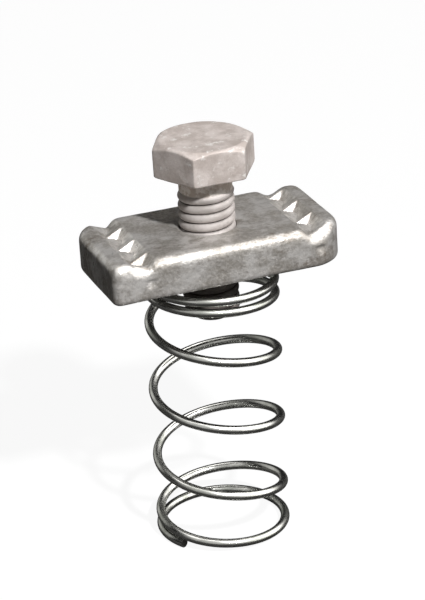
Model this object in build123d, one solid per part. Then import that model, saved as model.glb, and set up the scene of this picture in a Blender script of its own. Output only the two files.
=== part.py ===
# Strut channel spring nut: a forged channel nut with two toothed grooves, a hexagon
# set screw that threads through it, and a left-hand coil spring that carries both.
# Millimetres, +Z up. The origin is on the floor, on the axis of the screw.
import os
from math import atan2, ceil, cos, degrees, pi, radians, sin, sqrt, tan

from build123d import *

# Channel nut
nut_length = 34.8            # end to end, across the slot of the channel
nut_width = 18.6             # fits down through the slot
nut_thickness = 5.8
turning_corner_radius = 5.0  # the two corners that clear the channel as the nut is turned
square_corner_radius = 1.2   # the other two corners
top_edge_radius = 1.3
bottom_edge_radius = 0.7

# Grooves that take the lips of the channel
groove_offset = 10.9         # from the screw's axis to the near edge of each groove
groove_width = 3.9           # at the top of the nut
groove_floor_width = 1.3
groove_depth = 1.55
mouth_start_depth = 0.9      # of the cut that opens the groove at the side of the nut
mouth_depth = 1.95           # of a groove where it leaves the side of the nut
mouth_flare = 0.35           # by which each wall opens there
mouth_length = 0.8           # over which it opens

# Teeth on both walls of each groove
tooth_pitch = 5.1
tooth_land = 0.8             # of bare floor between the feet of two facing teeth
right_tooth_place = 2.3      # of the top of one outer tooth's steep face, from the middle of the nut
left_tooth_place = 3.0       # the same, with the nut turned half round
tooth_face_tilt = 30.0       # of the steep face, back from upright
tooth_bend_width = 0.5       # from the groove's edge to the bend in a crest
tooth_bend_depth = 0.15
tooth_far_depth = 1.45       # of a crest where it meets the wall across the groove
tooth_root = 0.1             # by which each end of a tooth sinks into its wall

# Hexagon set screw, M8
screw_diameter = 8.0
screw_length = 21.8          # under the head
head_across_flats = 13.0
head_height = 4.9
head_chamfer_angle = 30.0
head_chamfer_ratio = 0.95    # chamfer circle over the width across flats
head_foot_break = 0.25       # break on the six lower corners
neck_diameter = 7.5
neck_length = 2.4
thread_pitch = 1.35
thread_depth = 0.65
thread_half_angle = 30.0     # of the groove between two crests
thread_root_height = 0.55    # of one root above the nut's top, on the +X side
thread_end_length = 0.5      # from the neck to the thread's upper end
tip_diameter = 5.0
tip_length = 1.3
head_turn = 58.3             # of a corner of the head, from +X
screw_clearance = 0.05       # between screw and nut, on the radius
screw_stand_off = 8.1        # from the nut's top to the underside of the head
bore_countersink = 0.2

# Coil spring
spring_free_height = 41.5
spring_overhang = 0.4        # of the coil past each side of the nut
wire_diameter = 1.3
wire_sides = 10              # flats that stand for the round wire, so its facets stay few
spring_seat_gap = 0.1        # between the top turn and the nut
end_pitch = 0.4              # of the first, closed turn on the floor
end_turn_gap = 0.08          # between the cut end and the turn above it
flat_turns = 0.67            # before the wire lifts off
lead_pitch = 6.4             # of the turn that leads into the open ones
lead_turns = 0.35
open_turns = 2.36
ease_turns = 0.35            # over which the pitch grows to that of the open turns
close_turns = 0.98           # over which the open turns close up
nest_gap = 0.25              # between the two top turns
nest_turns = 0.98
rise_pitch = 2.0             # of the last stretch, which meets the nut
rise_turns = 0.68
end_angle = 210.0            # of the cut end on the floor, from +X
points_per_turn = 12

# Worked out from the sizes above
nut_underside = spring_free_height
nut_top = nut_underside + nut_thickness
head_underside = nut_top + screw_stand_off
coil_radius = nut_width / 2 + spring_overhang - wire_diameter / 2
margin = 1.0                 # by which a cutter passes a face
clearing = 0.3               # by which the thread's cutter passes the crests


def nut_blank():
    """A block with two large turning corners, two small ones and eased edges."""
    outline = Rectangle(nut_length, nut_width)
    turning = [corner for corner in outline.vertices() if corner.X * corner.Y < 0]
    outline = fillet(turning, turning_corner_radius)
    square = [corner for corner in outline.vertices() if corner.X * corner.Y > 0]
    outline = fillet(square, square_corner_radius)
    block = extrude(outline, nut_thickness)
    block = fillet(block.faces().sort_by(Axis.Z)[-1].edges(), top_edge_radius)
    block = fillet(block.faces().sort_by(Axis.Z)[0].edges(), bottom_edge_radius)
    return block


def groove_section(place, depth, flare=0.0):
    """Across a groove at one place along it: the floor, two sloping walls and room above."""
    middle = groove_offset + groove_width / 2
    half_floor = (groove_floor_width + flare) / 2
    half_top = groove_width / 2 + flare
    half_outline = [
        (half_floor, nut_thickness - depth),
        (half_top, nut_thickness),
        (half_top, nut_thickness + margin),
    ]
    right = [(middle + across, place, height) for across, height in half_outline]
    left = [(middle - across, place, height) for across, height in reversed(half_outline)]
    return make_face(Polyline(*right, *left, close=True))


def tooth_section(place, outline):
    """A flat face through a tooth, leaning back as its steep face does, from across and down."""
    middle = groove_offset + groove_width / 2
    lean = tan(radians(tooth_face_tilt))
    points = [(middle + across, place - down * lean, nut_thickness - down) for across, down in outline]
    return make_face(Polyline(*points, close=True))


def wall_tooth(place):
    """A tooth of the outer wall: steep towards -Y, and falling back to the wall the other way."""
    half_top = groove_width / 2
    half_floor = groove_floor_width / 2
    foot = groove_depth + tooth_root
    buried = [(half_top + margin, groove_depth + margin), (half_top + margin, 0)]
    crest = [
        (half_top + tooth_root, 0),
        (half_top - tooth_bend_width, tooth_bend_depth),
        (-half_top, tooth_far_depth),
        *buried,
    ]
    wall = [
        (half_top + tooth_root, 0),
        ((half_top + half_floor) / 2 + tooth_root, groove_depth / 2),
        (half_floor, foot),
        *buried,
    ]
    end = place + tooth_pitch - tooth_land
    return loft([tooth_section(place, crest), tooth_section(end, wall)], ruled=True)


def toothed_groove(tooth_place):
    """The cutter of the right groove: the teeth of its two walls are left standing and face in pairs."""
    groove = loft([groove_section(place, groove_depth) for place in (-nut_width, nut_width)], ruled=True)
    reach = ceil(nut_width / 2 / tooth_pitch) + 1
    turn_over = Pos(2 * groove_offset + groove_width, 0, 0) * Rot(0, 0, 180)
    facing = tooth_land + 2 * groove_depth * tan(radians(tooth_face_tilt))
    for number in range(-reach, reach + 1):
        place = tooth_place + number * tooth_pitch
        groove -= wall_tooth(place)
        groove -= turn_over * wall_tooth(facing - place)
    return groove


def groove_mouths():
    """The cutters that open both ends of the right groove, where its forged edge rolls over."""
    start = groove_section(nut_width / 2 - mouth_length, mouth_start_depth)
    share = (mouth_length + margin) / mouth_length
    end_depth = mouth_start_depth + (mouth_depth - mouth_start_depth) * share
    end = groove_section(nut_width / 2 + margin, end_depth, mouth_flare * share)
    mouth = loft([start, end], ruled=True)
    return [mouth, mirror(mouth, about=Plane.XZ)]


def bore_cutter():
    """The screw's hole, countersunk at both faces."""
    radius = screw_diameter / 2 + screw_clearance
    hole = Cylinder(radius, nut_thickness + 2 * margin, align=(Align.CENTER, Align.CENTER, Align.MIN))
    hole = Pos(0, 0, -margin) * hole
    align = (Align.CENTER, Align.CENTER, Align.MIN)
    lower = Cone(radius + bore_countersink, radius, bore_countersink, align=align)
    upper = Cone(radius, radius + bore_countersink, bore_countersink, align=align)
    return hole + lower + Pos(0, 0, nut_thickness - bore_countersink) * upper


def make_nut():
    nut = nut_blank()
    mouths = groove_mouths()
    nut -= [toothed_groove(right_tooth_place), *mouths]
    nut -= [Rot(0, 0, 180) * cutter for cutter in (toothed_groove(left_tooth_place), *mouths)]
    nut -= bore_cutter()
    return Pos(0, 0, nut_underside) * nut


def head_envelope():
    """The turned shape that chamfers the head above and breaks its corners below."""
    corner = head_across_flats / sqrt(3) + margin
    flat = head_across_flats / 2 * head_chamfer_ratio
    drop = (corner - flat) * tan(radians(head_chamfer_angle))
    foot = head_across_flats / sqrt(3) - head_foot_break
    section = Polyline(
        (0, 0),
        (foot, 0),
        (corner, corner - foot),
        (corner, head_height - drop),
        (flat, head_height),
        (0, head_height),
        close=True,
    )
    return revolve(Plane.XZ * make_face(section), Axis.Z)


def thread_groove():
    """The right-hand helical groove, a V between two crests, that runs out at the screw's tip."""
    radius = screw_diameter / 2
    half_width = (thread_depth + clearing) * tan(radians(thread_half_angle))
    top = -neck_length - thread_end_length
    one_root = thread_root_height - screw_stand_off
    start = one_root - ceil((one_root + screw_length) / thread_pitch) * thread_pitch
    path = Helix(thread_pitch, top - start, radius - thread_depth, center=(0, 0, start))
    section = Polyline(
        (radius - thread_depth, start),
        (radius + clearing, start + half_width),
        (radius + clearing, start - half_width),
        close=True,
    )
    return sweep(Plane.XZ * make_face(section), path, is_frenet=True)


def make_screw():
    hexagon = RegularPolygon(head_across_flats / 2, 6, major_radius=False)
    corner_turn = degrees(atan2(hexagon.vertices()[0].Y, hexagon.vertices()[0].X))
    head = extrude(Rot(0, 0, head_turn - corner_turn) * hexagon, head_height) & head_envelope()
    radius = screw_diameter / 2
    neck = neck_diameter / 2
    section = Polyline(
        (0, margin),
        (neck, margin),
        (neck, -neck_length + (radius - neck)),
        (radius, -neck_length),
        (radius, -screw_length + tip_length),
        (tip_diameter / 2, -screw_length),
        (0, -screw_length),
        close=True,
    )
    shank = revolve(Plane.XZ * make_face(section), Axis.Z)
    return Pos(0, 0, head_underside) * (head + (shank - thread_groove()))


def pitch_stations():
    """Pitch against turns, from the floor up, with the open pitch left to be found."""
    clear_turn = wire_diameter + end_turn_gap - end_pitch
    lift_turns = (lead_pitch - end_pitch) * (1 - flat_turns) ** 2 / (2 * clear_turn)
    nest_pitch = wire_diameter + nest_gap
    return [
        (flat_turns, end_pitch, end_pitch, 0, 0),
        (lift_turns, end_pitch, lead_pitch, 0, 0),
        (lead_turns, lead_pitch, lead_pitch, 0, 0),
        (ease_turns, lead_pitch, 0, 0, 1),
        (open_turns, 0, 0, 1, 1),
        (close_turns, 0, nest_pitch, 1, 0),
        (nest_turns, nest_pitch, nest_pitch, 0, 0),
        (rise_turns, rise_pitch, rise_pitch, 0, 0),
    ]


def coil_heights():
    """The wire's height at even steps of its turns, with closed ends and open turns."""
    stations = pitch_stations()
    climb = spring_free_height - wire_diameter - spring_seat_gap
    fixed = sum(turns * (start + end) / 2 for turns, start, end, _, _ in stations)
    share = sum(turns * (first + last) / 2 for turns, _, _, first, last in stations)
    open_pitch = (climb - fixed) / share
    total = sum(station[0] for station in stations)
    steps = round(total * points_per_turn)
    heights = []
    for step in range(steps + 1):
        left = total * step / steps
        height = wire_diameter / 2
        for turns, start, end, first, last in stations:
            begin = start + open_pitch * first
            finish = end + open_pitch * last
            part = min(left, turns)
            height += part * (begin + (finish - begin) * part / turns / 2)
            left -= part
        heights.append(height)
    return total, heights


def make_spring():
    total, heights = coil_heights()
    steps = len(heights) - 1
    points = []
    for step, height in enumerate(heights):
        angle = radians(end_angle) - 2 * pi * total * step / steps
        points.append((coil_radius * cos(angle), coil_radius * sin(angle), height))
    path = Spline(*points)
    outward = (path @ 0) - Vector(0, 0, heights[0])
    start = Plane(origin=path @ 0, x_dir=outward, z_dir=path % 0)
    return sweep(start * RegularPolygon(wire_diameter / 2, wire_sides, rotation=90), path, is_frenet=True)


parts = {
    "channel_nut": make_nut(),
    "hex_set_screw": make_screw(),
    "coil_spring": make_spring(),
}

os.makedirs("parts", exist_ok=True)
for name, part in parts.items():
    export_step(part, f"parts/{name}.step")
    print(name, "volume", round(part.volume, 2), "mm3")
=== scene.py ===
import math

import bmesh
import bpy
from mathutils import Matrix, Vector, noise


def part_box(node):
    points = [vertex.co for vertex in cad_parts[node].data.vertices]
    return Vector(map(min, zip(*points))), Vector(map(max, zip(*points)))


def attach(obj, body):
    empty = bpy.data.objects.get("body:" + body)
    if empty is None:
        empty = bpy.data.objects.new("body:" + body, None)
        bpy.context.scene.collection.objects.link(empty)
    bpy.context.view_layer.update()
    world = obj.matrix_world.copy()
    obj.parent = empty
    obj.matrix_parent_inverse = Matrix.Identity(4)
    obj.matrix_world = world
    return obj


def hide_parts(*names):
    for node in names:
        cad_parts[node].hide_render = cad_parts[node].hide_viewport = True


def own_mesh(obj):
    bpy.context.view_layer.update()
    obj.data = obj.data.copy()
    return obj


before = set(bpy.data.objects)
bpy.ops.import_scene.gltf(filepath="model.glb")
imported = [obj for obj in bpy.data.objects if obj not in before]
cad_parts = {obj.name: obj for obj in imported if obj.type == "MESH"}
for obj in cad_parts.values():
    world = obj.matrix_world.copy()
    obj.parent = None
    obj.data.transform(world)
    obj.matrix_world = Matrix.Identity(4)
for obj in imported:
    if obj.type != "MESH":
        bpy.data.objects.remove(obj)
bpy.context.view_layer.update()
print("stage: frame loaded")

mm = 0.001


# camera

cameraSettings = {
    "lookAt": (0, 0, 47.3),     # mm, the middle of the nut's top
    "azimuth": -20.211,
    "elevation": 23.669,
    "roll": -3.118,
    "distance": 400,
    "shiftAcross": 0.715,       # mm, of the whole camera
    "shiftUp": -10.691,
    "focalPixels": 2860.0,
    "imageHeight": 600,
}


def makeCamera(values):
    azimuth = math.radians(values["azimuth"])
    elevation = math.radians(values["elevation"])
    roll = math.radians(values["roll"])
    back = Vector((math.sin(azimuth) * math.cos(elevation),
                   -math.cos(azimuth) * math.cos(elevation),
                   math.sin(elevation)))
    level = Vector((math.cos(azimuth), math.sin(azimuth), 0))
    upright = back.cross(level)
    right = level * math.cos(roll) + upright * math.sin(roll)
    up = upright * math.cos(roll) - level * math.sin(roll)
    place = (Vector(values["lookAt"]) + back * values["distance"]
             + right * values["shiftAcross"] + up * values["shiftUp"]) * mm
    data = bpy.data.cameras.new("camera")
    data.sensor_width = 36
    data.lens = values["focalPixels"] * data.sensor_width / values["imageHeight"]
    data.clip_start = 0.01
    data.clip_end = 20
    camera = bpy.data.objects.new("camera", data)
    turn = Matrix((right, up, back)).transposed().to_4x4()
    camera.matrix_world = Matrix.Translation(place) @ turn
    bpy.context.scene.collection.objects.link(camera)
    bpy.context.scene.camera = camera


makeCamera(cameraSettings)
print("stage: camera")


# node helpers

def addNode(tree, kind, settings=None, inputs=None):
    node = tree.nodes.new(kind)
    for name, value in (settings or {}).items():
        setattr(node, name, value)
    for name, value in (inputs or {}).items():
        feed(tree, node.inputs[name], value)
    return node


def feed(tree, socket, value):
    # a socket is linked, anything else is a plain value
    if isinstance(value, bpy.types.NodeSocket):
        tree.links.new(value, socket)
    elif value is not None:
        socket.default_value = value


def calc(tree, operation, first, second=None, third=None):
    node = addNode(tree, "ShaderNodeMath", {"operation": operation})
    for socket, value in zip(node.inputs, (first, second, third)):
        feed(tree, socket, value)
    return node.outputs[0]


def ease(tree, value, low, high, start=0.0, end=1.0):
    # start below low, end above high, smooth between
    settings = {"interpolation_type": "SMOOTHSTEP", "clamp": True}
    node = addNode(tree, "ShaderNodeMapRange", settings)
    for name, number in (("Value", value), ("From Min", low), ("From Max", high),
                         ("To Min", start), ("To Max", end)):
        feed(tree, node.inputs[name], number)
    return node.outputs[0]


def newMaterial(name):
    material = bpy.data.materials.new(name)
    material.use_nodes = True
    return material, material.node_tree, material.node_tree.nodes["Principled BSDF"]


def objectPoint(tree, stretch=(1, 1, 1)):
    place = addNode(tree, "ShaderNodeTexCoord")
    mapping = addNode(tree, "ShaderNodeMapping", None, {
        "Vector": place.outputs["Object"], "Scale": stretch})
    return mapping.outputs["Vector"]


def speckle(tree, point, scale, detail=3.0, roughness=0.55):
    node = addNode(tree, "ShaderNodeTexNoise", None, {
        "Vector": point, "Scale": scale, "Detail": detail, "Roughness": roughness})
    return node.outputs["Fac"]


def blendColour(tree, share, first, second, kind="MIX"):
    node = addNode(tree, "ShaderNodeMix", {"data_type": "RGBA", "blend_type": kind})
    feed(tree, node.inputs[0], share)
    feed(tree, node.inputs[6], first)
    feed(tree, node.inputs[7], second)
    return node.outputs[2]


def bumpFrom(tree, height, depth, strength, under=None):
    # depth in mm
    node = addNode(tree, "ShaderNodeBump", None, {
        "Height": height, "Distance": depth * mm, "Strength": strength})
    if under is not None:
        feed(tree, node.inputs["Normal"], under)
    return node.outputs["Normal"]


def addPits(tree, shader, point, grain, values):
    pits = bumpFrom(tree, speckle(tree, point, values["pitScale"], 4, 0.6),
                    values["pitDepth"], values["pitStrength"])
    feed(tree, shader.inputs["Normal"],
         bumpFrom(tree, grain, values["grainDepth"], values["grainStrength"], pits))


# finishes

nutFinish = {
    "light": (0.74, 0.715, 0.69, 1),
    "dark": (0.33, 0.305, 0.275, 1),
    "stain": (0.17, 0.135, 0.105, 1),
    "metal": 0.5,
    "patchScale": 230,          # all scales are per metre
    "streakScale": 620,
    "streakStretch": (0.5, 1.3, 1),
    "streakShare": 0.6,
    "stainScale": 190,
    "stainStretch": (0.8, 1.5, 1),
    "stainShare": 0.75,
    "grainScale": 2400,
    "grainShare": 0.45,
    "roughLow": 0.27,
    "roughHigh": 0.45,
    "pitScale": 900,
    "pitDepth": 0.2,            # mm
    "pitStrength": 0.65,
    "grainDepth": 0.05,
    "grainStrength": 0.5,
}


def makeNutFinish(values):
    material, tree, shader = newMaterial("hotDipGalvanisedNut")
    point = objectPoint(tree)
    patches = speckle(tree, point, values["patchScale"], 6, 0.7)
    streaks = speckle(tree, objectPoint(tree, values["streakStretch"]), values["streakScale"], 5, 0.7)
    grain = speckle(tree, point, values["grainScale"], 3)
    stains = speckle(tree, objectPoint(tree, values["stainStretch"]), values["stainScale"], 6, 0.75)
    colour = blendColour(tree, ease(tree, patches, 0.4, 0.6), values["dark"], values["light"])
    streaked = ease(tree, streaks, 0.46, 0.66, 0.0, values["streakShare"])
    colour = blendColour(tree, streaked, colour, values["dark"])
    grained = ease(tree, grain, 0.35, 0.75, 0.0, values["grainShare"])
    colour = blendColour(tree, grained, colour, values["light"])
    stained = ease(tree, stains, 0.54, 0.68, 0.0, values["stainShare"])
    colour = blendColour(tree, stained, colour, values["stain"])
    feed(tree, shader.inputs["Base Color"], colour)
    shader.inputs["Metallic"].default_value = values["metal"]
    feed(tree, shader.inputs["Roughness"],
         ease(tree, patches, 0.3, 0.7, values["roughHigh"], values["roughLow"]))
    addPits(tree, shader, point, grain, values)
    return material


screwFinish = {
    "light": (0.70, 0.63, 0.595, 1),
    "dark": (0.50, 0.435, 0.40, 1),
    "fleck": (0.84, 0.81, 0.78, 1),
    "threadLight": (0.54, 0.50, 0.48, 1),
    "threadDark": (0.41, 0.375, 0.355, 1),
    # painted light: both speckle tones of the neck are made pale to stand for key light where the head's
    # shadow falls
    "neckPaintedLightPale": (0.86, 0.80, 0.75, 1),
    "neckPaintedLightBrown": (0.60, 0.52, 0.46, 1),
    # painted shade: near black, for the thread's roots and the end under the nut
    "root": (0.05, 0.038, 0.03, 1),
    "metal": 0.15,
    "roughness": 0.6,
    "patchScale": 330,
    "fleckScale": 760,
    "fleckShare": 0.8,
    "grainScale": 2400,
    "neckScale": 900,
    "neckAbove": 52.5,          # mm up the screw
    "neckBlend": 0.3,
    "rootRadius": 3.45,         # mm from the axis, below which the thread's roots get painted shade
    "crestRadius": 3.8,
    # painted shade on the end under the nut
    "shadedBelow": 41.0,         # mm up the screw, under the nut
    "shadedBlend": 0.8,
    "shadedShare": 0.8,
    "pitScale": 1100,
    "pitDepth": 0.18,
    "pitStrength": 0.5,
    "grainDepth": 0.04,
    "grainStrength": 0.5,
}


def paintThread(tree, point, colour, values):
    # painted shade in the roots, a speckled neck under the head painted pale as painted light, and
    # painted shade on the end under the nut
    parts = addNode(tree, "ShaderNodeSeparateXYZ", None, {"Vector": point})
    squareX = calc(tree, "MULTIPLY", parts.outputs["X"], parts.outputs["X"])
    squareY = calc(tree, "MULTIPLY", parts.outputs["Y"], parts.outputs["Y"])
    radius = calc(tree, "SQRT", calc(tree, "ADD", squareX, squareY))
    # painted shade in the thread's roots
    outsideRootShade = ease(tree, radius, values["rootRadius"] * mm, values["crestRadius"] * mm)
    colour = blendColour(tree, outsideRootShade, values["root"], colour)
    # painted light: the speckled neck under the head is painted paler than the thread
    specks = ease(tree, speckle(tree, point, values["neckScale"], 4, 0.7), 0.42, 0.58)
    litNeckColour = blendColour(tree, specks, values["neckPaintedLightBrown"], values["neckPaintedLightPale"])
    above = values["neckAbove"] * mm
    litNeckShare = ease(tree, parts.outputs["Z"], above, above + values["neckBlend"] * mm)
    colour = blendColour(tree, litNeckShare, colour, litNeckColour)
    # painted shade darkens the end under the nut
    below = values["shadedBelow"] * mm
    paintedShadeShare = ease(tree, parts.outputs["Z"], below, below + values["shadedBlend"] * mm,
                 values["shadedShare"], 0.0)
    return blendColour(tree, paintedShadeShare, colour, values["root"])


def makeScrewFinish(values, threaded):
    material, tree, shader = newMaterial("galvanisedThread" if threaded else "galvanisedHead")
    point = objectPoint(tree)
    patches = speckle(tree, point, values["patchScale"], 5, 0.65)
    grain = speckle(tree, point, values["grainScale"], 3)
    light, dark = ("threadLight", "threadDark") if threaded else ("light", "dark")
    colour = blendColour(tree, ease(tree, patches, 0.36, 0.64), values[dark], values[light])
    if threaded:
        colour = paintThread(tree, point, colour, values)
    else:
        flecks = speckle(tree, point, values["fleckScale"], 4, 0.7)
        flecked = ease(tree, flecks, 0.56, 0.68, 0.0, values["fleckShare"])
        colour = blendColour(tree, flecked, colour, values["fleck"])
    feed(tree, shader.inputs["Base Color"], colour)
    shader.inputs["Metallic"].default_value = values["metal"]
    shader.inputs["Roughness"].default_value = values["roughness"]
    addPits(tree, shader, point, grain, values)
    return material


wireFinish = {
    "light": (0.66, 0.66, 0.64, 1),
    "dark": (0.36, 0.37, 0.34, 1),
    "patchScale": 300,
    "roughLow": 0.18,
    "roughHigh": 0.34,
    "pitScale": 700,
    "pitDepth": 0.02,
    "pitStrength": 0.3,
}


def makeWireFinish(values):
    material, tree, shader = newMaterial("platedSpringWire")
    point = objectPoint(tree)
    patches = speckle(tree, point, values["patchScale"], 4, 0.6)
    colour = blendColour(tree, ease(tree, patches, 0.35, 0.7), values["light"], values["dark"])
    feed(tree, shader.inputs["Base Color"], colour)
    shader.inputs["Metallic"].default_value = 1.0
    feed(tree, shader.inputs["Roughness"],
         ease(tree, patches, 0.3, 0.7, values["roughLow"], values["roughHigh"]))
    pits = speckle(tree, point, values["pitScale"], 2)
    feed(tree, shader.inputs["Normal"],
         bumpFrom(tree, pits, values["pitDepth"], values["pitStrength"]))
    return material


nutMetal = makeNutFinish(nutFinish)
headMetal = makeScrewFinish(screwFinish, False)
threadMetal = makeScrewFinish(screwFinish, True)
wireMetal = makeWireFinish(wireFinish)
print("stage: finishes")


# mesh helpers

def linkPiece(name, mesh, material):
    piece = bpy.data.objects.new(name, mesh)
    bpy.context.scene.collection.objects.link(piece)
    mesh.materials.clear()
    mesh.materials.append(material)
    for polygon in mesh.polygons:
        polygon.use_smooth = True
    return piece


def bakePiece(piece):
    # turns an object and its modifiers into one plain mesh
    depsgraph = bpy.context.evaluated_depsgraph_get()
    mesh = bpy.data.meshes.new_from_object(piece.evaluated_get(depsgraph))
    piece.modifiers.clear()
    piece.data = mesh
    return piece


def mergedCopy(node):
    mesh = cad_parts[node].data.copy()
    solid = bmesh.new()
    solid.from_mesh(mesh)
    bmesh.ops.remove_doubles(solid, verts=solid.verts, dist=1e-6)
    solid.to_mesh(mesh)
    solid.free()
    return mesh


def bump01(value):
    # 1 at 0, falling smoothly to 0 at 1
    value = min(max(value, 0.0), 1.0)
    return 1 - value * value * (3 - 2 * value)


# channel nut

nutSettings = {
    "voxel": 0.15,              # mm
    "softSteps": 3,
    "grooveSoftness": 0.0,      # share of that inside the toothed grooves
    "grooveMiddle": 12.85,      # mm from the screw's axis
    "grooveReach": 2.0,
    "edgeSoftSteps": 110,       # more where the long edges roll over
    "rollFrom": 6.6,            # mm from the middle of the nut
    "rollTo": 8.6,
    "rollLift": 1.2,            # above the nut's middle
    "topSkin": 0.12,            # below the nut's top, still softened beside the grooves
    "waviness": 0.05,           # mm, of the forged faces
    "wavinessSize": 5.0,
    "fineWaveShare": 0.4,
    "fineWaveRatio": 2.7,
    "waveSink": 0.3,            # share of the waviness that sinks below the solid
    "waveRise": 0.02,
    "dentDepth": 0.25,          # below the mouth of each groove
    "dents": ((-11.9, -9.3, 44.4), (13.3, -9.3, 44.5), (11.9, 9.3, 44.4), (-13.3, 9.3, 44.5)),
    "dentAcross": 1.1,
    "dentInward": 1.2,
    "dentUp": 0.35,             # from its deepest place up to the mouth's rim
    "dentDown": 1.5,
}


def makeNut(values):
    low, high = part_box("channel_nut")
    middle = (low.z + high.z) / 2
    nut = linkPiece("forgedNut", mergedCopy("channel_nut"), nutMetal)
    remesh = nut.modifiers.new("remesh", "REMESH")
    remesh.mode = "VOXEL"
    remesh.voxel_size = values["voxel"] * mm
    bakePiece(nut)
    group = nut.vertex_groups.new(name="roll")
    faces = nut.vertex_groups.new(name="faces")
    for vertex in nut.data.vertices:
        fromGroove = abs(abs(vertex.co.x) - values["grooveMiddle"] * mm)
        toothed = (fromGroove < values["grooveReach"] * mm
                   and middle < vertex.co.z < high.z - values["topSkin"] * mm)
        faces.add([vertex.index], values["grooveSoftness"] if toothed else 1.0, "REPLACE")
        reach = (abs(vertex.co.y) / mm - values["rollFrom"]) / (values["rollTo"] - values["rollFrom"])
        lift = (vertex.co.z - middle) / (values["rollLift"] * mm)
        weight = (1 - bump01(reach)) * (1 - bump01(lift))
        if weight > 0:
            group.add([vertex.index], weight, "REPLACE")
    soften = nut.modifiers.new("soften", "SMOOTH")
    soften.factor = 0.5
    soften.iterations = values["softSteps"]
    soften.vertex_group = "faces"
    roll = nut.modifiers.new("roll", "SMOOTH")
    roll.factor = 0.5
    roll.iterations = values["edgeSoftSteps"]
    roll.vertex_group = "roll"
    bakePiece(nut)
    nut.vertex_groups.clear()
    dentForgedFaces(nut.data, values)
    for polygon in nut.data.polygons:
        polygon.use_smooth = True
    return nut


def dentForgedFaces(mesh, values):
    size = values["wavinessSize"] * mm
    normals = [vertex.normal.copy() for vertex in mesh.vertices]
    for vertex, normal in zip(mesh.vertices, normals):
        place = vertex.co.copy()
        fine = noise.noise(place / size * values["fineWaveRatio"])
        wave = noise.noise(place / size) + values["fineWaveShare"] * fine
        push = (wave - values["waveSink"]) * values["waviness"] * mm
        vertex.co += normal * min(push, values["waveRise"] * mm)
        for x, y, z in values["dents"]:
            if abs(place.y - y * mm) < values["dentInward"] * mm:
                rise = place.z - z * mm
                reach = values["dentUp"] if rise > 0 else values["dentDown"]
                away = math.hypot((place.x - x * mm) / (values["dentAcross"] * mm), rise / (reach * mm))
                vertex.co.y -= math.copysign(values["dentDepth"] * mm, y) * bump01(away)


forgedNut = makeNut(nutSettings)
print("stage: nut", len(forgedNut.data.polygons), "faces")


# set screw

headSettings = {
    "voxel": 0.13,
    "softSteps": 5,
    "underside": 55.4,          # the shank is cut off below it
    "waviness": 0.05,
    "wavinessSize": 3.6,
    "waveSink": 0.3,
}

threadSettings = {
    "Pitch": 1.35 * mm,
    "Thread Turn": -0.4444,
    "Crest Radius": 4.0 * mm,
    "Root Depth": 0.72 * mm,
    "Neck Radius": 3.77 * mm,
    "Neck Length": 2.95 * mm,   # from the top, as below
    "Tip Radius": 2.5 * mm,
    "Tip Length": 1.3 * mm,
    "Top": 55.7 * mm,           # a little inside the head
    "Tip": 33.6 * mm,
    "Ridge Power": 0.4,         # below 1 makes the crests rounder and the roots sharper
    "Run Out": 0.4 * mm,
    "Weld": 0.002 * mm,
    "End Rows": 3,              # close each end face
    "Around": 96,
    "Along": 380,
}


def makeHead(values):
    mesh = mergedCopy("hex_set_screw")
    solid = bmesh.new()
    solid.from_mesh(mesh)
    everything = solid.verts[:] + solid.edges[:] + solid.faces[:]
    bmesh.ops.bisect_plane(solid, geom=everything, plane_co=(0, 0, values["underside"] * mm),
                           plane_no=(0, 0, -1), clear_outer=True)
    bmesh.ops.holes_fill(solid, edges=[edge for edge in solid.edges if edge.is_boundary])
    solid.to_mesh(mesh)
    solid.free()
    head = linkPiece("screwHead", mesh, headMetal)
    remesh = head.modifiers.new("remesh", "REMESH")
    remesh.mode = "VOXEL"
    remesh.voxel_size = values["voxel"] * mm
    soften = head.modifiers.new("soften", "SMOOTH")
    soften.factor = 0.5
    soften.iterations = values["softSteps"]
    bakePiece(head)
    size = values["wavinessSize"] * mm
    for vertex in head.data.vertices:
        push = (noise.noise(vertex.co / size) - values["waveSink"]) * values["waviness"] * mm
        vertex.co += vertex.normal * min(push, 0)
    for polygon in head.data.polygons:
        polygon.use_smooth = True
    return head


def newGeometryTree(name, sizes):
    tree = bpy.data.node_groups.new(name, "GeometryNodeTree")
    tree.interface.new_socket("Geometry", in_out="OUTPUT", socket_type="NodeSocketGeometry")
    for label, value in sizes.items():
        kind = "NodeSocketInt" if isinstance(value, int) else "NodeSocketFloat"
        tree.interface.new_socket(label, in_out="INPUT", socket_type=kind)
    inputs = tree.nodes.new("NodeGroupInput")
    outputs = tree.nodes.new("NodeGroupOutput")
    return tree, inputs.outputs, outputs.inputs["Geometry"]


def runGeometryTree(name, tree, sizes, material):
    piece = linkPiece(name, bpy.data.meshes.new(name), material)
    modifier = piece.modifiers.new("shape", "NODES")
    modifier.node_group = tree
    for item in tree.interface.items_tree:
        if item.in_out == "INPUT" and item.name in sizes:
            modifier[item.identifier] = sizes[item.name]
    bakePiece(piece)
    return piece


def finishTree(tree, geometry, output, material):
    real = addNode(tree, "GeometryNodeRealizeInstances", None, {"Geometry": geometry})
    painted = addNode(tree, "GeometryNodeSetMaterial", None, {
        "Geometry": real.outputs[0], "Material": material})
    tree.links.new(painted.outputs[0], output)


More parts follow.
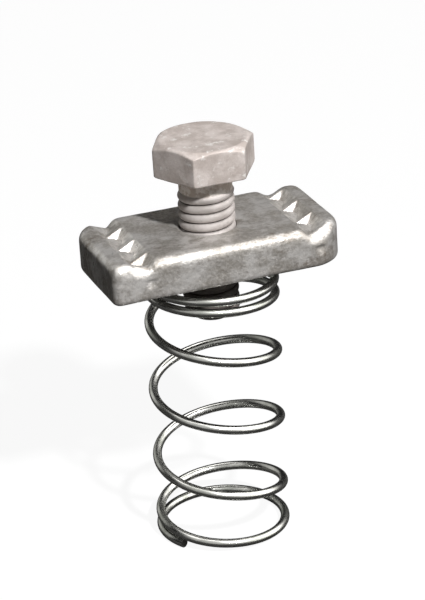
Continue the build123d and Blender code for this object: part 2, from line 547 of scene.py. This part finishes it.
def threadTree(sizes):
    tree, size, output = newGeometryTree("rolledThread", sizes)
    grid = addNode(tree, "GeometryNodeMeshGrid", None, {
        "Size X": 1.0, "Size Y": 1.0, "Vertices X": size["Around"], "Vertices Y": size["Along"]})
    spot = addNode(tree, "ShaderNodeSeparateXYZ", None, {
        "Vector": addNode(tree, "GeometryNodeInputPosition").outputs[0]})
    turn = calc(tree, "ADD", spot.outputs["X"], 0.5)
    rows = calc(tree, "SUBTRACT", size["Along"], 1.0)
    row = calc(tree, "MULTIPLY", calc(tree, "ADD", spot.outputs["Y"], 0.5), rows)
    ends = size["End Rows"]
    sideRows = calc(tree, "SUBTRACT", rows, calc(tree, "MULTIPLY", ends, 2.0))
    side = calc(tree, "MINIMUM", calc(tree, "MAXIMUM", calc(tree, "SUBTRACT", row, ends), 0.0), sideRows)
    share = calc(tree, "DIVIDE", side, sideRows)
    length = calc(tree, "SUBTRACT", size["Top"], size["Tip"])
    height = calc(tree, "SUBTRACT", size["Top"], calc(tree, "MULTIPLY", share, length))
    close = calc(tree, "MINIMUM", calc(tree, "DIVIDE", row, ends),
                 calc(tree, "DIVIDE", calc(tree, "SUBTRACT", rows, row), ends))
    close = calc(tree, "MINIMUM", close, 1.0)
    # right-hand thread, rounded crests over sharp roots
    rise = calc(tree, "ADD", calc(tree, "DIVIDE", height, size["Pitch"]), size["Thread Turn"])
    phase = calc(tree, "FRACT", calc(tree, "SUBTRACT", rise, turn))
    wave = calc(tree, "SINE", calc(tree, "MULTIPLY", phase, math.pi))
    ridge = calc(tree, "POWER", wave, size["Ridge Power"])
    root = calc(tree, "SUBTRACT", size["Crest Radius"], size["Root Depth"])
    threaded = calc(tree, "MULTIPLY_ADD", ridge, size["Root Depth"], root)
    below = calc(tree, "SUBTRACT", size["Top"], height)
    runOut = ease(tree, below, size["Neck Length"],
                  calc(tree, "ADD", size["Neck Length"], size["Run Out"]))
    radius = calc(tree, "ADD", calc(tree, "MULTIPLY", threaded, runOut),
                  calc(tree, "MULTIPLY", size["Neck Radius"], calc(tree, "SUBTRACT", 1.0, runOut)))
    slope = calc(tree, "DIVIDE", calc(tree, "SUBTRACT", size["Crest Radius"], size["Tip Radius"]),
                 size["Tip Length"])
    chamfer = calc(tree, "MULTIPLY_ADD", calc(tree, "SUBTRACT", height, size["Tip"]), slope,
                   size["Tip Radius"])
    radius = calc(tree, "MULTIPLY", calc(tree, "MINIMUM", radius, chamfer), close)
    angle = calc(tree, "MULTIPLY", turn, 2 * math.pi)
    place = addNode(tree, "ShaderNodeCombineXYZ", None, {
        "X": calc(tree, "MULTIPLY", radius, calc(tree, "COSINE", angle)),
        "Y": calc(tree, "MULTIPLY", radius, calc(tree, "SINE", angle)),
        "Z": height})
    moved = addNode(tree, "GeometryNodeSetPosition", None, {
        "Geometry": grid.outputs["Mesh"], "Position": place.outputs[0]})
    closed = addNode(tree, "GeometryNodeMergeByDistance", None, {
        "Geometry": moved.outputs[0], "Distance": size["Weld"]})
    outward = addNode(tree, "GeometryNodeFlipFaces", None, {"Mesh": closed.outputs[0]})
    finishTree(tree, outward.outputs[0], output, threadMetal)
    return tree


screwHead = makeHead(headSettings)
screwThread = runGeometryTree("screwThread", threadTree(threadSettings), threadSettings, threadMetal)
print("stage: screw", len(screwHead.data.polygons), len(screwThread.data.polygons), "faces")


# spring

springSettings = {
    "closedPitch": 0.4,         # mm a turn
    "leadPitch": 6.4,
    "nestPitch": 1.55,
    "risePitch": 2.0,
    "endTurnGap": 0.08,         # mm, where the foot's turn meets the next
    "flatTurns": 0.67,          # turns, from the foot up
    "leadTurns": 0.35,
    "easeTurns": 0.35,
    "openTurns": 2.36,
    "closeTurns": 0.98,
    "nestTurns": 0.98,
    "riseTurns": 0.68,
    "sizes": {
        "Coil Radius": 9.05 * mm,
        "Wire Radius": 0.65 * mm,
        "Free Height": 41.5 * mm,
        "Seat Gap": 0.1 * mm,
        "Start Angle": math.radians(210),
        "Points per Turn": 72,
        "Wire Sides": 20,
    },
}


def makeStretches(values):
    # turns, then the pitch at the start and end of each stretch; None is the open pitch
    closed, lead, nest = values["closedPitch"], values["leadPitch"], values["nestPitch"]
    lift = 2 * values["sizes"]["Wire Radius"] / mm + values["endTurnGap"] - closed
    meetTurns = (lead - closed) * (1 - values["flatTurns"]) ** 2 / (2 * lift)
    return [
        (values["flatTurns"], closed, closed),
        (meetTurns, closed, lead),
        (values["leadTurns"], lead, lead),
        (values["easeTurns"], lead, None),
        (values["openTurns"], None, None),
        (values["closeTurns"], None, nest),
        (values["nestTurns"], nest, nest),
        (values["riseTurns"], values["risePitch"], values["risePitch"]),
    ]


def openPitch(stretches, climb):
    # the pitch of the open turns that brings the wire up to the nut
    fixed = sum(turns * ((start or 0) + (end or 0)) / 2 for turns, start, end in stretches)
    share = sum(turns * ((start is None) + (end is None)) / 2 for turns, start, end in stretches)
    return (climb - fixed) / share


def springTree(sizes, stretches):
    tree, size, output = newGeometryTree("compressionSpring", sizes)
    total = sum(stretch[0] for stretch in stretches)
    climb = (sizes["Free Height"] - 2 * sizes["Wire Radius"] - sizes["Seat Gap"]) / mm
    pitch = openPitch(stretches, climb)
    count = calc(tree, "CEIL", calc(tree, "MULTIPLY", size["Points per Turn"], total))
    line = addNode(tree, "GeometryNodeMeshLine", None, {"Count": calc(tree, "ADD", count, 1.0)})
    index = addNode(tree, "GeometryNodeInputIndex").outputs[0]
    turns = calc(tree, "MULTIPLY", calc(tree, "DIVIDE", index, count), total)
    height = size["Wire Radius"]
    begun = 0.0
    for length, start, end in stretches:
        start = pitch if start is None else start
        end = pitch if end is None else end
        part = calc(tree, "MAXIMUM", calc(tree, "SUBTRACT", turns, begun), 0.0)
        part = calc(tree, "MINIMUM", part, length)
        rate = calc(tree, "MULTIPLY_ADD", part, (end - start) / length / 2 * mm, start * mm)
        height = calc(tree, "MULTIPLY_ADD", part, rate, height)
        begun += length
    # left-hand coil
    angle = calc(tree, "SUBTRACT", size["Start Angle"], calc(tree, "MULTIPLY", turns, 2 * math.pi))
    place = addNode(tree, "ShaderNodeCombineXYZ", None, {
        "X": calc(tree, "MULTIPLY", size["Coil Radius"], calc(tree, "COSINE", angle)),
        "Y": calc(tree, "MULTIPLY", size["Coil Radius"], calc(tree, "SINE", angle)),
        "Z": height})
    moved = addNode(tree, "GeometryNodeSetPosition", None, {
        "Geometry": line.outputs[0], "Position": place.outputs[0]})
    curve = addNode(tree, "GeometryNodeMeshToCurve", None, {"Mesh": moved.outputs[0]})
    upright = addNode(tree, "GeometryNodeSetCurveNormal", {"mode": "Z_UP"}, {"Curve": curve.outputs[0]})
    ring = addNode(tree, "GeometryNodeCurvePrimitiveCircle", None, {
        "Resolution": size["Wire Sides"], "Radius": size["Wire Radius"]})
    tube = addNode(tree, "GeometryNodeCurveToMesh", None, {
        "Curve": upright.outputs[0], "Profile Curve": ring.outputs[0], "Fill Caps": True})
    finishTree(tree, tube.outputs[0], output, wireMetal)
    return tree


coilTree = springTree(springSettings["sizes"], makeStretches(springSettings))
springWire = runGeometryTree("springWire", coilTree, springSettings["sizes"], wireMetal)
print("stage: spring", len(springWire.data.polygons), "faces")


# pieces on their bodies

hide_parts("channel_nut")
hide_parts("hex_set_screw")
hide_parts("hex_set_screw")
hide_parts("coil_spring")
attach(forgedNut, "nut")
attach(screwHead, "screw")
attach(screwThread, "screw")
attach(springWire, "spring")
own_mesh(springWire)
print("stage: pieces ride")


# floor, world and lamps

studioSettings = {
    "floorColour": (0.95, 0.95, 0.95, 1),
    "floorGlow": 0.9,           # share of the floor that the camera sees as plain white
    "floorWhite": 1.04,         # strength of that white
    "tableColour": (0.03, 0.029, 0.028, 1),     # what the floor throws back at the object
    "surround": (0.01, 0.01, 0.01, 1),
    "brightSide": (0.10, 0.098, 0.095, 1),
    "brightTowards": (0.75, -0.62, 0.2),
    "softboxGlow": (3.8, 3.74, 3.66, 1),        # overhead, only seen in reflections
    "softboxTowards": (0.28, -0.6, 0.75),
    "softboxInner": 50,         # degrees, full strength inside and nothing past the outer one
    "softboxOuter": 75,
    "frontGlow": (0.65, 0.65, 0.63, 1),         # in front, only seen in reflections
    "frontTowards": (-0.316, -0.86, 0.401),
    "frontInner": 26,
    "frontOuter": 74,
    "backGlow": (0.65, 0.65, 0.62, 1),          # behind the object, for the sides of the wire
    "backTowards": (-0.46, 0.84, 0.3),
    "backInner": 8,
    "backOuter": 34,
    "metalShows": 0.008,        # share of the white background that metal reflects
    "floorReach": 3,
    "target": (0, 0, 0.045),
    "lamps": {
        "keyLamp": {"azimuth": -83, "elevation": 43.4, "distance": 0.75, "size": 0.05, "power": 6.9},
    },
}


def seenShare(tree, metalShare):
    # 1 for what the camera sees straight or through something, a share for what metal shows
    path = addNode(tree, "ShaderNodeLightPath")
    straight = calc(tree, "MAXIMUM", path.outputs["Is Camera Ray"], path.outputs["Is Transmission Ray"])
    mirrored = calc(tree, "MULTIPLY", path.outputs["Is Glossy Ray"], metalShare)
    return calc(tree, "MAXIMUM", straight, mirrored)


def mixShaders(tree, share, first, second):
    node = addNode(tree, "ShaderNodeMixShader")
    feed(tree, node.inputs[0], share)
    feed(tree, node.inputs[1], first)
    feed(tree, node.inputs[2], second)
    return node.outputs[0]


def makeFloor(values):
    reach = values["floorReach"]
    mesh = bpy.data.meshes.new("floor")
    mesh.from_pydata([(-reach, -reach, 0), (reach, -reach, 0), (reach, reach, 0), (-reach, reach, 0)],
                     [], [(0, 1, 2, 3)])
    floor = bpy.data.objects.new("floor", mesh)
    bpy.context.scene.collection.objects.link(floor)
    material, tree, shader = newMaterial("paleFloor")
    shader.inputs["Base Color"].default_value = values["tableColour"]
    shader.inputs["Roughness"].default_value = 1.0
    glow = addNode(tree, "ShaderNodeEmission", None, {
        "Color": (1, 1, 1, 1), "Strength": values["floorWhite"]})
    pale = addNode(tree, "ShaderNodeBsdfDiffuse", None, {"Color": values["floorColour"]})
    shown = mixShaders(tree, values["floorGlow"], pale.outputs[0], glow.outputs[0])
    surface = mixShaders(tree, seenShare(tree, values["metalShows"]), shader.outputs[0], shown)
    tree.links.new(surface, tree.nodes["Material Output"].inputs["Surface"])
    mesh.materials.append(material)


def addPatch(tree, light, towards, inner, outer, colour):
    # a soft round patch of light that only shows in reflections
    facing = addNode(tree, "ShaderNodeVectorMath", {"operation": "DOT_PRODUCT"})
    feed(tree, facing.inputs[0], addNode(tree, "ShaderNodeTexCoord").outputs["Generated"])
    facing.inputs[1].default_value = Vector(towards).normalized()
    inside = ease(tree, facing.outputs["Value"], math.cos(math.radians(outer)),
                  math.cos(math.radians(inner)))
    mirrored = addNode(tree, "ShaderNodeLightPath").outputs["Is Glossy Ray"]
    glow = addNode(tree, "ShaderNodeBackground", None, {"Color": colour})
    return mixShaders(tree, calc(tree, "MULTIPLY", inside, mirrored), light, glow.outputs[0])


def makeWorld(values):
    world = bpy.data.worlds.new("studio")
    bpy.context.scene.world = world
    world.use_nodes = True
    tree = world.node_tree
    light = tree.nodes["Background"]
    towards = addNode(tree, "ShaderNodeVectorMath", {"operation": "DOT_PRODUCT"})
    feed(tree, towards.inputs[0], addNode(tree, "ShaderNodeTexCoord").outputs["Generated"])
    towards.inputs[1].default_value = Vector(values["brightTowards"]).normalized()
    share = ease(tree, towards.outputs["Value"], 0.0, 1.0)
    feed(tree, light.inputs["Color"], blendColour(tree, share, values["surround"], values["brightSide"]))
    light = light.outputs[0]
    for patch in ("softbox", "front", "back"):
        light = addPatch(tree, light, values[patch + "Towards"], values[patch + "Inner"],
                         values[patch + "Outer"], values[patch + "Glow"])
    white = addNode(tree, "ShaderNodeBackground", None, {"Color": (1, 1, 1, 1), "Strength": 1.0})
    surface = mixShaders(tree, seenShare(tree, values["metalShows"]), light, white.outputs[0])
    tree.links.new(surface, tree.nodes["World Output"].inputs["Surface"])


def makeLamp(name, values, target):
    azimuth, elevation = math.radians(values["azimuth"]), math.radians(values["elevation"])
    away = Vector((math.cos(azimuth) * math.cos(elevation), math.sin(azimuth) * math.cos(elevation),
                   math.sin(elevation)))
    data = bpy.data.lights.new(name, "AREA")
    data.shape = "DISK"
    data.size = values["size"]
    data.energy = values["power"]
    lamp = bpy.data.objects.new(name, data)
    lamp.location = Vector(target) + away * values["distance"]
    lamp.rotation_euler = away.to_track_quat("Z", "Y").to_euler()
    bpy.context.scene.collection.objects.link(lamp)


makeFloor(studioSettings)
makeWorld(studioSettings)
for lampName, lampValues in studioSettings["lamps"].items():
    makeLamp(lampName, lampValues, studioSettings["target"])
bpy.context.scene.view_settings.view_transform = "Standard"
print("stage: studio")
